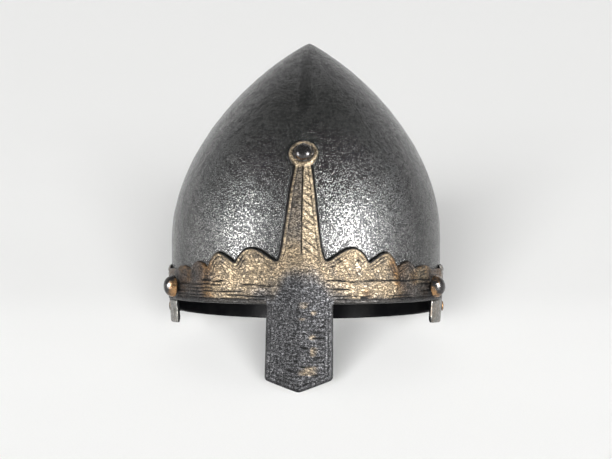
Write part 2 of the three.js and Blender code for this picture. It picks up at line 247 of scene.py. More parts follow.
def quads(rows, columns, start=0, wrap=False, flip=False):
    """The faces of a grid of points, rows by columns, seen from outside with rows going up."""
    row, column = np.mgrid[0 : rows - 1, 0 : columns if wrap else columns - 1]
    following = (column + 1) % columns
    a = start + row * columns + column
    b = start + row * columns + following
    c = start + (row + 1) * columns + following
    d = start + (row + 1) * columns + column
    order = [a, d, c, b] if flip else [a, b, c, d]
    return np.stack(order, -1).reshape(-1, 4).tolist()


def outline_of(shapes):
    """The points of the shapes' outlines that lie outside every other shape: the outline of them all."""
    kept = []
    for number, (_, outline) in enumerate(shapes):
        hidden = np.zeros(len(outline), bool)
        for other, (inside, _) in enumerate(shapes):
            if other != number:
                hidden |= inside(outline[:, 0], outline[:, 1])
        kept.append(outline[~hidden])
    return np.concatenate(kept)


def dense(corners, closed=True, step=BAND_OUTLINE_STEP):
    """Points close together along a polygon or an open path."""
    corners = np.asarray(corners, float)
    points = []
    following = np.roll(corners, -1, axis=0)
    for start, end in list(zip(corners, following))[: None if closed else -1]:
        count = max(1, int(np.linalg.norm(end - start) / step))
        points.append(start + (end - start) * (np.arange(count) / count)[:, None])
    return np.concatenate(points)


def plate(arcs, heights, shapes, outer_at, inner_at):
    """A plate laid on the skull over a region of arc and height: its points, faces and, for each point, arc,
    height, distance to the outline, and whether it is on the outer sheet."""
    arc, height = np.meshgrid(arcs, heights)
    middle_arc = (arc[1:, 1:] + arc[:-1, :-1]) / 2
    middle_height = (height[1:, 1:] + height[:-1, :-1]) / 2
    kept = np.zeros(middle_arc.shape, bool)
    for inside, _ in shapes:
        kept |= inside(middle_arc, middle_height)
    columns = len(arcs)
    row, column = np.nonzero(kept)
    low_left = row * columns + column
    cells = np.stack([low_left, low_left + 1, low_left + columns + 1, low_left + columns], -1)
    used = np.unique(cells)
    number = np.full(arc.size, -1)
    number[used] = np.arange(len(used))
    cells = number[cells]
    uses = np.bincount(cells.ravel(), minlength=len(used))
    s, z = arc.ravel()[used].copy(), height.ravel()[used].copy()
    outline = outline_of(shapes)
    tree = KDTree(len(outline))
    for place, (x, y) in enumerate(outline):
        tree.insert((x, y, 0), place)
    tree.balance()
    found = [tree.find((x, y, 0)) for x, y in zip(s, z)]
    distance = np.array([f[2] for f in found])
    edge = uses < 4
    nearest = np.array([f[1] for f in found])
    s[edge], z[edge], distance[edge] = outline[nearest[edge], 0], outline[nearest[edge], 1], 0.0
    points = np.concatenate([outer_at(s, z, distance), inner_at(s, z, distance)])
    count = len(s)
    sides = np.concatenate([cells[:, [i, (i + 1) % 4]] for i in range(4)])
    keys = sides[:, 0] * count + sides[:, 1]
    back = sides[:, 1] * count + sides[:, 0]
    border = sides[~np.isin(keys, back)]
    walls = np.stack([border[:, 1], border[:, 0], border[:, 0] + count, border[:, 1] + count], -1)
    faces = cells.tolist() + (cells[:, ::-1] + count).tolist() + walls.tolist()
    facts = {
        "arc": np.tile(s, 2),
        "height": np.tile(z, 2),
        "distance": np.tile(distance, 2),
        "outside": np.repeat([1.0, 0.0], count),
    }
    return points, faces, facts


def rounded_edge(distance, radius):
    """How far a face sinks at its outline when its edge is rounded by a radius."""
    reach = np.clip(1 - distance / radius, 0, 1)
    return radius * (1 - np.sqrt(1 - reach**2))


# ---- Materials ----


class Nodes:
    """Short calls that add shader nodes to a new material."""

    def __init__(self, name):
        self.material = bpy.data.materials.new(name)
        self.material.use_nodes = True
        self.tree = self.material.node_tree
        self.shader = self.tree.nodes["Principled BSDF"]
        self.place = self.add("ShaderNodeTexCoord").outputs["Object"]

    def add(self, kind, **values):
        node = self.tree.nodes.new(kind)
        for key, value in values.items():
            setattr(node, key, value)
        return node

    def link(self, value, socket):
        if isinstance(value, bpy.types.NodeSocket):
            self.tree.links.new(value, socket)
        else:
            socket.default_value = value

    def attribute(self, name):
        return self.add("ShaderNodeAttribute", attribute_name=name).outputs["Fac"]

    def noise(self, scale, detail=3.0, roughness=0.6, distortion=0.0, place=None):
        node = self.add("ShaderNodeTexNoise")
        self.link(place or self.place, node.inputs["Vector"])
        node.inputs["Scale"].default_value = scale
        node.inputs["Detail"].default_value = detail
        node.inputs["Roughness"].default_value = roughness
        node.inputs["Distortion"].default_value = distortion
        return node.outputs["Fac"]

    def creases(self, scale, width, flatness=1.0):
        """0 along fine winding creases, 1 between them; the lower the flatness, the longer they run level."""
        squash = self.add("ShaderNodeVectorMath", operation="MULTIPLY")
        self.link(self.place, squash.inputs[0])
        squash.inputs[1].default_value = (flatness, flatness, 1)
        wander = self.noise(scale, 2, 0.55, 0.6, squash.outputs[0])
        off = self.math("ABSOLUTE", self.math("SUBTRACT", wander, 0.5))
        return self.span(off, 0.0, width)

    def math(self, operation, a, b=0.0):
        node = self.add("ShaderNodeMath", operation=operation)
        self.link(a, node.inputs[0])
        self.link(b, node.inputs[1])
        return node.outputs[0]

    def span(self, value, low, high, to_low=0.0, to_high=1.0):
        node = self.add("ShaderNodeMapRange", interpolation_type="SMOOTHSTEP")
        for key, each in enumerate((value, low, high, to_low, to_high)):
            self.link(each, node.inputs[key])
        return node.outputs[0]

    def mix(self, share, a, b):
        node = self.add("ShaderNodeMix", data_type="RGBA")
        self.link(share, node.inputs[0])
        self.link(a, node.inputs[6])
        self.link(b, node.inputs[7])
        return node.outputs[2]

    def bump(self, height, distance, strength=1.0, normal=None):
        node = self.add("ShaderNodeBump")
        node.inputs["Strength"].default_value = strength
        node.inputs["Distance"].default_value = distance
        self.link(height, node.inputs["Height"])
        if normal is not None:
            self.link(normal, node.inputs["Normal"])
        return node.outputs["Normal"]

    def finish(self, color, roughness, metallic, normal):
        values = {"Base Color": color, "Roughness": roughness, "Metallic": metallic, "Normal": normal}
        for key, value in values.items():
            self.link(value, self.shader.inputs[key])
        return self.material


def skull_material():
    """Gunmetal, cast with a fine leathery grain, paler on its high spots with wear and darker in its crease
    lines with painted shade.
    """
    n = Nodes("hammered_gunmetal")
    lines = n.creases(780, 0.15)
    grain = n.noise(1250, 4, 0.7, 0.3)
    lumps = n.noise(210, 3, 0.6)
    patches = n.noise(16, 3, 0.6)
    height = n.math("ADD", n.math("MULTIPLY", lines, 0.5), n.math("MULTIPLY", grain, 0.5))
    # Partly wear, partly painted shade: the colour follows the bump, darker in the crease lines and paler on
    # the raised grain, in worn patches.
    worn = n.math("MULTIPLY", n.span(height, 0.42, 0.74), n.span(patches, 0.3, 0.7, 0.6, 1.0))
    color = n.mix(worn, (0.04, 0.04, 0.041, 1), (0.235, 0.235, 0.228, 1))
    # Painted shade: darker in a painted dark reflection beside the ridge and in a painted shadow round the
    # disc.
    color = n.mix(n.math("MULTIPLY", n.attribute("painted_shade"), 0.6), color, (0.02, 0.02, 0.021, 1))
    roughness = n.span(lumps, 0.3, 0.7, 0.24, 0.19)
    soft = n.bump(lumps, 0.0012, 0.26)
    return n.finish(color, roughness, 0.95, n.bump(height, 0.0005, 0.5, soft))


def inside_material():
    """Smooth black paint inside the skull and the bands, a little dusty, made near-black as painted shade for
    the deep shade inside.
    """
    n = Nodes("black_paint_and_painted_shade")
    dust = n.noise(45, 4, 0.6)
    color = n.mix(n.span(dust, 0.45, 0.75), (0.001, 0.001, 0.0013, 1), (0.0025, 0.0025, 0.0025, 1))
    roughness = n.span(dust, 0.3, 0.7, 0.28, 0.42)
    n.shader.inputs["Specular IOR Level"].default_value = 0.08
    return n.finish(color, roughness, 0.0, n.bump(n.noise(300, 3), 0.0002, 0.5))


def band_material():
    """Dark steel with copper rubbed over the raised work: the copper share and the relief are per point. The
    per-point values also carry a painted highlight on the bar's right face, painted shade on its left face
    and a painted shadow line along the plate's edges.
    """
    n = Nodes("copper_rubbed_steel")
    lines = n.creases(640, 0.15, 0.55)
    grain = n.noise(1100, 4, 0.65)
    smudge = n.noise(110, 4, 0.6)
    patches = n.noise(42, 3, 0.6)
    height = n.math("ADD", n.math("MULTIPLY", lines, 0.5), n.math("MULTIPLY", grain, 0.5))
    worn = n.span(n.math("ADD", grain, smudge), 0.75, 1.1, 0.35, 1.0)
    rubbed = n.math("MULTIPLY", n.attribute("copper"), worn)
    pale = n.span(n.math("ADD", patches, n.math("MULTIPLY", n.attribute("pale"), 0.3)), 0.48, 0.72)
    copper = n.mix(pale, (0.18, 0.105, 0.048, 1), (0.34, 0.265, 0.175, 1))
    # A painted highlight: the palest copper where the pale value is highest, on the bar's right face.
    copper = n.mix(n.span(n.attribute("pale"), 1.0, 2.4), copper, (0.50, 0.40, 0.27, 1))
    steel = n.mix(n.span(grain, 0.38, 0.66), (0.022, 0.022, 0.024, 1), (0.16, 0.16, 0.165, 1))
    color = n.mix(rubbed, steel, copper)
    cuts = n.math("MAXIMUM", n.attribute("cut"), n.span(lines, 0.7, 0.1, 0.0, 0.8))
    # Near-black in the cuts and crease lines, on the dark bead, and along the edges, where the outline value
    # is a painted shadow line.
    color = n.mix(n.math("MAXIMUM", cuts, n.attribute("outline")), color, (0.008, 0.008, 0.008, 1))
    roughness = n.span(smudge, 0.3, 0.7, 0.34, 0.48)
    return n.finish(color, roughness, 0.92, n.bump(height, 0.0006, 0.7))


def neck_material():
    """Aged grey steel with brown and copper patches."""
    n = Nodes("aged_steel")
    lines = n.creases(430, 0.16)
    grain = n.noise(700, 3, 0.6)
    patches = n.noise(75, 5, 0.7)
    height = n.math("ADD", n.math("MULTIPLY", lines, 0.5), n.math("MULTIPLY", grain, 0.5))
    steel = n.mix(n.span(height, 0.3, 0.8), (0.10, 0.10, 0.095, 1), (0.33, 0.315, 0.29, 1))
    brown = n.math("MULTIPLY", n.span(patches, 0.48, 0.72), n.span(grain, 0.3, 0.7, 0.2, 0.75))
    color = n.mix(brown, steel, (0.22, 0.135, 0.072, 1))
    # Painted shadow: near-black along the edges, where the outline value is set.
    color = n.mix(n.attribute("outline"), color, (0.008, 0.008, 0.008, 1))
    return n.finish(color, n.span(patches, 0.3, 0.7, 0.36, 0.52), 0.88, n.bump(height, 0.0006, 0.5))


def rivet_material():
    """Polished dark steel, copper where its lower rim is rubbed."""
    n = Nodes("rivet_steel")
    grain = n.noise(420, 4, 0.6)
    smudge = n.noise(150, 3, 0.6)
    copper = n.math("MULTIPLY", n.attribute("copper"), n.span(smudge, 0.38, 0.6))
    color = n.mix(copper, (0.06, 0.058, 0.058, 1), (0.36, 0.21, 0.10, 1))
    return n.finish(color, n.span(grain, 0.3, 0.7, 0.18, 0.34), 0.95, n.bump(grain, 0.0005, 0.5))


# Black paint, made near-black as painted shade, for the insides and the neck band's edges.
BLACK_INSIDE_AND_SHADE = inside_material()

# ---- Pieces ----


def disc_distance(s, z):
    """The distance from the disc's centre, along the sloping face of the skull."""
    return np.sqrt(s**2 + ((z - DISC_Z) / DISC_SLOPE_SHARE) ** 2)


def make_skull():
    """The hammered shell, with painted shade: a painted dark reflection beside its ridge high on the front,
    and a painted shadow round the disc.
    """
    columns, rows, inner_rows = SKULL_COLUMNS, SKULL_ROWS, SKULL_INNER_ROWS
    shares = np.arange(rows) / rows
    heights = SKULL_EDGE_Z + (APEX_Z - SKULL_EDGE_Z) * (1 - (1 - shares) ** 1.3)
    angles = np.arange(columns) / columns * 2 * math.pi
    angle, z = np.meshgrid(angles, heights)
    smooth = skull_point(angle, z)
    dents = sum(depth * (0.5 + 0.5 * noise(smooth, size, shift)) for depth, size, shift in SKULL_DENTS)
    dents = dents * ease(APEX_Z - z, 0, 6)
    outer = off_skull(angle, z, -dents)
    outer[0, :, 2] = SKULL_EDGE_Z
    inner_heights = np.interp(np.arange(inner_rows) / inner_rows, shares, heights)
    angle, z = np.meshgrid(angles, inner_heights)
    inner = off_skull(angle, z, np.full(angle.shape, -SKULL_THICKNESS))
    inner[0, :, 2] = SKULL_EDGE_Z
    points = np.concatenate([
        outer.reshape(-1, 3),
        inner.reshape(-1, 3),
        [[APEX_LEAN, 0, POINT_OUTSIDE_Z], [APEX_LEAN, 0, POINT_INSIDE_Z]],
    ])
    start = rows * columns
    faces = quads(rows, columns, wrap=True)
    faces += quads(inner_rows, columns, start=start, wrap=True, flip=True)
    top, under = len(points) - 2, len(points) - 1
    last_out, last_in = start - columns, start + (inner_rows - 1) * columns
    for column in range(columns):
        following = (column + 1) % columns
        faces.append([last_out + column, last_out + following, top])
        faces.append([last_in + following, last_in + column, under])
        faces.append([start + column, start + following, following, column])
    x, y, z = points.T
    # Painted shade, per point: a painted dark reflection in a stripe beside the ridge, and a painted shadow
    # ringing the disc.
    painted_ridge_reflection = ease(x, -3.6, -2.2) * ease(x, 7, 3) * ease(z, 150, 162) * ease(z, 207, 196) * (y < 0)
    ring = np.hypot(x, (z - DISC_Z) / DISC_SLOPE_SHARE)
    painted_disc_shadow = ease(ring, 14.5, 11) * ease(z, 118, 128) * (y < 0)
    painted_shade = np.maximum(0.8 * painted_ridge_reflection, painted_disc_shadow)
    piece = add_mesh("skull_shell", points, faces, [skull_material(), BLACK_INSIDE_AND_SHADE], {"painted_shade": painted_shade})
    inner_face = np.array([max(face) >= start and max(face) != top for face in faces])
    piece.data.polygons.foreach_set("material_index", inner_face.astype(np.int32))
    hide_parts("skull")


def band_top(arc):
    """The height of the brow band's top edge at a distance round the skull from the front."""
    angle = np.degrees(np.interp(np.abs(arc), ARC_LENGTHS, ARC_ANGLES))
    top = np.where(angle < SCALLOPS[0][0], SCALLOPS[0][2], BAND_SIDE_TOP_Z)
    for number, (low, high, notch, rise) in enumerate(SCALLOPS):
        following = SCALLOPS[number + 1][2] if number + 1 < len(SCALLOPS) else BAND_SIDE_TOP_Z
        share = np.clip((angle - low) / (high - low), 0, 1)
        arch = np.maximum(np.sin(math.pi * share**SCALLOP_SKEW), 0) ** SCALLOP_ROUNDNESS
        lobe = notch + (following - notch) * share + rise * arch
        top = np.where((angle >= low) & (angle < high), lobe, top)
    return top


def bar_half(z):
    return np.interp(z, BAR_HEIGHTS, BAR_HALF_WIDTHS)


def nasal_low(s):
    """The nose guard's lower edge: a blunt point between rounded corners."""
    wide = NASAL_HALF_WIDTH + NASAL_FLARE
    share = np.sqrt((s / wide) ** 2 + NASAL_BLUNTNESS)
    past = np.clip(np.abs(s) - wide + NASAL_CORNER, 0, NASAL_CORNER)
    return NASAL_CORNER_Z - NASAL_TIP_DROP * (1 - share) + NASAL_CORNER - np.sqrt(NASAL_CORNER**2 - past**2)


def nasal_half(z):
    return NASAL_HALF_WIDTH + NASAL_FLARE * (NASAL_TOP_Z - z) / (NASAL_TOP_Z - NASAL_CORNER_Z)


def brow_shapes():
    """The brow band, its bar, the disc and the nose guard: each an inside test and a dense outline."""
    end = float(arc_at(BAND_END_DEG))
    arcs = np.arange(-end, end, BAND_OUTLINE_STEP)
    top_edge = np.stack([arcs, band_top(arcs)], -1)
    low_edge = [(end, BAND_SIDE_TOP_Z), (end, BAND_BOTTOM_Z), (-end, BAND_BOTTOM_Z), (-end, BAND_SIDE_TOP_Z)]
    band_line = np.concatenate([top_edge, dense(low_edge, closed=False)])
    low, high = BAR_HEIGHTS[0], BAR_HEIGHTS[-1]
    z = np.linspace(low, high, 600)
    bar_line = dense(np.concatenate([np.stack([-bar_half(z), z], -1), np.stack([bar_half(z), z], -1)[::-1]]))
    turn = np.linspace(0, 2 * math.pi, 520, endpoint=False)
    disc_height = DISC_RADIUS * DISC_SLOPE_SHARE
    disc_line = np.stack([DISC_RADIUS * np.cos(turn), DISC_Z + disc_height * np.sin(turn)], -1)
    across = np.linspace(-1, 1, 800) * nasal_half(NASAL_CORNER_Z)
    under = np.stack([across, nasal_low(across)], -1)
    narrow = float(nasal_half(NASAL_TOP_Z))
    nasal_line = dense([*under, (narrow, NASAL_TOP_Z), (-narrow, NASAL_TOP_Z)])
    slack = 1e-6

    def in_band(s, z):
        return (np.abs(s) < end - slack) & (z > BAND_BOTTOM_Z + slack) & (z < band_top(s) - slack)

    def in_bar(s, z):
        return (np.abs(s) < bar_half(z) - slack) & (z > low + slack) & (z < high - slack)

    def in_disc(s, z):
        return (s / DISC_RADIUS) ** 2 + ((z - DISC_Z) / DISC_RADIUS / DISC_SLOPE_SHARE) ** 2 < 1 - slack

    def in_nasal(s, z):
        return (np.abs(s) < nasal_half(z) - slack) & (z < NASAL_TOP_Z - slack) & (z > nasal_low(s) + slack)

    return [(in_band, band_line), (in_bar, bar_line), (in_disc, disc_line), (in_nasal, nasal_line)]


def brow_relief(s, z, distance):
    """The raised and cut work of the brow band, in millimetres about its plain face."""
    side = np.abs(s)
    flat = np.stack([s, 0 * s, z], -1)
    wobble = noise(flat, 9, 2.2)
    bar = ease(z, 46, 56) * (z < 113)
    nasal = ease(z, 26, 12)
    band = (1 - bar) * (1 - nasal * (side < NASAL_HALF_WIDTH + 2))
    relief = 0.0
    # Thin raised borders with a cut line inside them, along the bar and the nose guard.
    relief += (bar + nasal) * (0.22 * groove(distance, 2.9, 0.5) - 0.36 * groove(distance, 3.9, 0.45))
    uneven = 1 + 0.8 * noise(flat, 1.6, 1.0)
    relief += nasal * (0.22 * groove(distance, 5.2, 0.6) * uneven - 0.2 * groove(distance, 6.6, 0.5))
    # Slanting cuts on the bar's two faces, and its centre line.
    slant = np.sin((z + 0.75 * side + 1.5 * wobble) * 2 * math.pi / 5.2)
    right = 0.35 + 0.65 * ease(s, -0.5, 1.0)
    relief -= bar * 0.32 * right * ease(slant, 0.5, 0.95) * ease(distance, 4.0, 4.8) * ease(side, 0.8, 1.8)
    relief -= bar * 0.40 * groove(side, 0, 0.7)
    # Carved strokes on the nose guard.
    stroke = np.sin((z + 2.2 * wobble + 0.9 * noise(flat * [0.45, 1, 1], 4, 5.5)) * 2 * math.pi / 3.4)
    strokes = ease(distance, 6.4, 7.6) * (0.5 + 0.5 * noise(flat, 6, 8.1)) * (0.45 + 0.55 * ease(s, -3, 2))
    relief += nasal * 0.45 * stroke * strokes
    relief += nasal * 0.22 * groove(side, 0, 0.8) * ease(distance, 4, 6)
    # Arcs inside each scallop and long cuts near the lower edge.
    upper = band * ease(z, 32, 38) * ease(side, 17, 21)
    relief -= upper * (0.28 * groove(distance, 4.0, 0.45) + 0.24 * groove(distance, 6.4, 0.45))
    hatch = np.sin((s + 0.6 * z + 2 * wobble) * 2 * math.pi / 3.1)
    relief -= upper * 0.16 * ease(hatch, 0.3, 0.9) * ease(distance, 7.0, 8)
    for level in LEVEL_CUTS:
        broken = ease(noise(flat * [0.35, 1, 1], 7, level), -0.3, 0.1)
        relief -= band * 0.5 * groove(z + 0.9 * wobble, level, 0.6) * broken * ease(side, 12, 24)
    # A bead and groove along the lower edge on each side of the nose guard, then unevenness all over.
    beside = band * ease(side, NASAL_HALF_WIDTH - 1, NASAL_HALF_WIDTH + 2)
    relief += beside * (0.5 * ease(z, 21.6, 20.9) - 0.4 * groove(z, 22.0, 0.45))
    relief += 0.12 * noise(flat, 1.9, 4.4) + 0.16 * noise(flat, 4.6, 6.4)
    return relief


def brow_plain(s, z):
    """The height of the brow band's plain face over the skull."""
    side = np.abs(s)
    from_disc = disc_distance(s, z)
    nasal = ease(z, 27, 16) * ease(side, NASAL_HALF_WIDTH + 3, NASAL_HALF_WIDTH)
    face = GAP + BAND_THICKNESS + 0.3 * ease(z, 46, 58) + 0.6 * nasal
    reach = np.interp(z, [20, 56, 118], [NASAL_HALF_WIDTH, 15, 6.4])
    face = face + 1.0 * np.clip(1 - side / reach, 0, 1) ** 2
    rim = groove(from_disc, DISC_RADIUS - DISC_RIM_WIDTH, 1.1)
    disc = DISC_FACE + DISC_RIM_RISE * rim
    return np.where(from_disc < DISC_RADIUS + 0.01, disc, face)


def make_brow_band():
    """The band, bar, disc and nose guard as one plate, with its wear, a painted highlight, painted shade and
    a painted shadow line along its edges as values per point.
    """
    end = float(arc_at(BAND_END_DEG))
    arcs = np.arange(-end - 1, end + 1, BAND_STEP)
    heights = np.arange(NASAL_CORNER_Z - NASAL_TIP_DROP - 1, DISC_Z + DISC_RADIUS + 1, BAND_STEP)

    def place(s, z, distance):
        wall = np.maximum(z, SKULL_EDGE_Z)
        points = off_skull(angle_at(s, wall), wall, distance)
        points[:, 2] += z - wall
        points[:, 0] -= (1.2 * ease(z, 30, 16) + 0.015 * np.clip(16 - z, 0, None)) * ease(np.abs(s), 45, 26)
        return points

    def outer_at(s, z, distance):
        on_disc = s**2 + ((z - DISC_Z) / DISC_SLOPE_SHARE) ** 2 < DISC_RADIUS**2
        relief = np.where(on_disc, 0.1 * noise(np.stack([s, z, z], -1), 2.5), brow_relief(s, z, distance))
        return place(s, z, brow_plain(s, z) + relief - rounded_edge(distance, 1.5))

    def inner_at(s, z, distance):
        return place(s, z, np.full_like(s, GAP))

    points, faces, facts = plate(arcs, heights, brow_shapes(), outer_at, inner_at)
    s, z, distance = facts["arc"], facts["height"], facts["distance"]
    side = np.abs(s)
    flat = np.stack([s, 0 * s, z], -1)
    from_disc = disc_distance(s, z)
    relief = brow_relief(s, z, distance)
    spread = noise(flat, 11, 1.7)
    copper = ease(z + 6 * spread - 10 * ease(side, 46, 24) - 12 * ease(side, 20, 8), 8, 30)
    copper = np.where((z < 21.8) & (side > NASAL_HALF_WIDTH), 0.12, copper)
    copper = copper * (1 - 0.8 * ease(side, 62, 92) * ease(spread, 0.35, -0.15))
    flecks = ease(noise(flat * [0.5, 1, 1], 4.2, 3.9), 0.42, 0.62) * ease(s, -2, 4) * ease(s, 14, 8)
    copper = np.maximum(copper, 0.6 * flecks * (z < 20))
    # Painted shade: less copper on the bar's left face, the side away from the light.
    painted_shade_left_face = ease(s, 0.5, -1.0) * ease(distance, 2.8, 3.6) * ease(z, 56, 66) * (z < 112)
    copper = copper * (1 - 0.65 * painted_shade_left_face)
    copper = np.where(from_disc < DISC_RADIUS - 2.6, 0.1, copper)
    # Painted shadow: a dark line along the plate's upper edges and round the nose guard. The bead below is
    # dark paint.
    upper_edge = (z > BAND_BOTTOM_Z + 3) & (from_disc > DISC_RADIUS + 0.3) & (side > bar_half(z) - 2.2)
    painted_edge_shadow = upper_edge * ease(side, 78, 60) + 0.7 * (z < BAND_BOTTOM_Z)
    bead = 0.6 * ease(z, 22.0, 21.4) * (side > NASAL_HALF_WIDTH + 0.3)
    attributes = {
        "copper": copper * facts["outside"],
        # Paler copper towards the front, and a painted highlight on the bar's right face, the lit side.
        "pale": ease(side, 74, 56) + 0.9 * ease(s, -1, 2) * ease(z, 50, 60) + 0.4 * ease(z, 50, 60),
        "cut": ease(relief, -0.04, -0.26) * facts["outside"],
        "outline": np.maximum(ease(distance, 2.6, 1.8) * painted_edge_shadow, bead) * facts["outside"],
    }
    material = band_material()
    piece = add_mesh("brow_band_plate", points, faces, [material, BLACK_INSIDE_AND_SHADE], attributes)
    inner = np.array([min(face) >= len(s) // 2 for face in faces])
    piece.data.polygons.foreach_set("material_index", inner.astype(np.int32))
    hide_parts("brow_band")


def neck_low(degrees):
    """The height of the neck band's lower edge at an angle, in degrees, from the front."""
    y = skull_point(np.radians(degrees), np.full_like(degrees, SKULL_EDGE_Z))[..., 1]
    away = np.minimum(degrees, 360 - degrees)
    reach = np.clip(FLAP_CORNER - np.radians(away - FLAP_FRONT_DEG) * FRONT_LENGTH, 0, FLAP_CORNER)
    flap, nape = -FLAP_FALL * y, HEEL_Z + NAPE_FALL * (BACK_LENGTH - y)
    rim = flap + (nape - flap) * ease(y, 0, RIM_STEP_LENGTH)
    return rim, FLAP_CORNER - np.sqrt(FLAP_CORNER**2 - reach**2)


def neck_degrees(arc):
    return np.degrees(np.interp(arc, ARC_LENGTHS, ARC_ANGLES))


def make_neck_band():
    """The raised band round the sides and back, with its two flaps; its inside is black, and its edges are
    black as painted shade.
    """
    flap_top = BAND_BOTTOM_Z - GAP
    start, stop = float(arc_at(FLAP_FRONT_DEG)), float(arc_at(360 - FLAP_FRONT_DEG))
    neck_start, neck_stop = float(arc_at(NECK_FRONT_DEG)), float(arc_at(360 - NECK_FRONT_DEG))

    def top_at(s):
        return np.where((s > neck_start) & (s < neck_stop), NECK_TOP_Z, flap_top)

    def low_at(s):
        rim, lift = neck_low(neck_degrees(s))
        return rim + lift

    line = np.arange(start, stop, NECK_OUTLINE_STEP)
    edges = [np.stack([line, low_at(line)], -1), np.stack([line, top_at(line)], -1)]
    for at, low, high in [
        (start, float(low_at(np.array([start]))[0]), flap_top),
        (stop, float(low_at(np.array([stop]))[0]), flap_top),
        (neck_start, flap_top, NECK_TOP_Z),
        (neck_stop, flap_top, NECK_TOP_Z),
    ]:
        levels = np.arange(low, high, NECK_OUTLINE_STEP)
        edges.append(np.stack([np.full_like(levels, at), levels], -1))
    shape = (lambda s, z: (s > start) & (s < stop) & (z > low_at(s)) & (z < top_at(s)), np.concatenate(edges))

    def stand_out(s, z):
        rim, _ = neck_low(neck_degrees(s))
        from_rim = z - rim * np.clip((NECK_TOP_Z - z) / (NECK_TOP_Z - rim), 0, 1)
        return np.interp(from_rim, NECK_HEIGHTS, NECK_STAND_OUT)

    def outer_at(s, z, distance):
        flat = np.stack([s, 0 * s, z], -1)
        out = stand_out(s, z)
        out = np.where(z > SKULL_EDGE_Z - 2 * GAP, np.maximum(out, GAP + 0.9), out)
        relief = 0.16 * noise(flat, 4.5) + 0.1 * noise(flat, 2.0, 3.0) - 0.45 * groove(z, 38.5, 0.5)
        return off_skull(np.radians(neck_degrees(s)), z, out + relief - rounded_edge(distance, 0.7))

    def inner_at(s, z, distance):
        back = stand_out(s, z) - NECK_THICKNESS + 0.3 * ease(distance, 0.8, 0)
        back = np.where(z > SKULL_EDGE_Z - 2 * GAP, GAP, back)
        return off_skull(np.radians(neck_degrees(s)), z, back)

    arcs = np.arange(start - 1, stop + 1, NECK_STEP)
    heights = np.arange(NECK_GRID_Z, NECK_TOP_Z + 1, NECK_STEP)
    points, faces, facts = plate(arcs, heights, [shape], outer_at, inner_at)
    # Painted shadow: a dark line along the band's upper edges.
    attributes = {"outline": ease(facts["distance"], 0.9, 0.3) * facts["outside"] * (facts["height"] > 20)}
    piece = add_mesh("neck_band_plate", points, faces, [neck_material(), BLACK_INSIDE_AND_SHADE], attributes)
    # Black inside, and black on the edges as painted shade.
    half = len(points) // 2
    inner = np.array([max(face) >= half for face in faces])
    piece.data.polygons.foreach_set("material_index", inner.astype(np.int32))
    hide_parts("neck_band")


def make_rivet(name, degrees, z, seat, wall_back, head, rise, shank, peen, material, copper_from):
    """A lightly hammered domed head, a shank and a peened end, turned about the skull's normal; copper_from
    is the share of the head's radius at which its copper rim begins."""
    low = wall_back - PEEN_GAP - seat
    foot = low - PEEN_HEIGHT
    profile = [(0, foot), (peen - PEEN_HEIGHT, foot), (peen, low - 0.3), (peen, low)]
    profile += [(shank, low), (shank, 0), (head - 0.5, 0)]
    for bend in np.linspace(0, math.pi / 2, 25)[:-1]:
        across = head * math.cos(bend) ** HEAD_ROUNDNESS
        profile.append((across, HEAD_LIP + (rise - HEAD_LIP) * math.sin(bend)))
    profile.append((0, rise))
    sides = RIVET_SIDES
    turn = np.arange(sides) / sides * 2 * math.pi
    radius, height = np.array(profile[1:-1]).T
    level = np.repeat(height[:, None], sides, axis=1)
    ring = np.stack([np.outer(radius, np.cos(turn)), np.outer(radius, np.sin(turn)), level], -1)
    local = np.concatenate([ring.reshape(-1, 3), [[0, 0, profile[0][1]], [0, 0, profile[-1][1]]]])
    on_dome = local[:, 2] > 0
    marks = np.where(on_dome, 0.18 * noise(local, 2.6, 5.0) - 0.18, 0)
    away = local / np.maximum(np.linalg.norm(local, axis=1, keepdims=True), 1e-6)
    local = local + away * marks[:, None]
    rows = len(profile) - 2
    faces = quads(rows, sides, wrap=True)
    bottom, top = len(local) - 2, len(local) - 1
    for side in range(sides):
        following = (side + 1) % sides
        faces.append([following, side, bottom])
        faces.append([(rows - 1) * sides + side, (rows - 1) * sides + following, top])
    angle = np.array([math.radians(degrees)])
    normal = Vector(skull_normal(angle, np.array([z]))[0])
    centre = off_skull(angle, np.array([z]), np.array([seat]))[0]
    turn_to = np.array(Vector((0, 0, 1)).rotation_difference(normal).to_matrix())
    points = local @ turn_to.T + centre
    copper = ease(np.hypot(local[:, 0], local[:, 1]) / head, copper_from, 1.0) * on_dome
    piece = add_mesh(name + "_turned", points, faces, material, {"copper": copper})
    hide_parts(name)


def make_rivets():
    material = rivet_material()
    make_rivet("front_rivet", **FRONT_RIVET, material=material, copper_from=0.9)
    for side, sign in (("left", -1), ("right", 1)):
        for kind, sizes, copper_from in (("ear", EAR_RIVET, 0.6), ("side", SIDE_RIVET, 0.2)):
            placed = {**sizes, "degrees": sign * sizes["degrees"]}
            make_rivet(f"{kind}_rivet_{side}", **placed, material=material, copper_from=copper_from)


# ---- Floor, lights and camera ----

CAMERA_DISTANCE, CAMERA_HEIGHT, CAMERA_YAW = 1150.0, 70.4, 1.55
CAMERA_LENS, SENSOR_WIDTH = 88.2, 36.0
# In metres: half the floor's width, and where behind the helmet's middle the painted shade on the cloth
# starts and ends.
FLOOR_HALF = 400
SHADE_FROM_Y, SHADE_TO_Y = 0.08, 0.26

# Soft boxes, as name, degrees from the front towards the right, and watts; sizes and distances in metres.
SOFTBOXES = [("left_softbox", -57, 42), ("right_softbox", 46, 77)]
SOFTBOX_ELEVATION, SOFTBOX_DISTANCE, SOFTBOX_SIZE = 14, 1.6, (0.5, 0.9)
# Suns on the cloth, as degrees from the front, elevation, strength and angle across.
CLOTH_SUNS = [(-9, 9, 9.3, 16), (9, 9, 9.3, 16), (0, 80, 0.2, 90)]
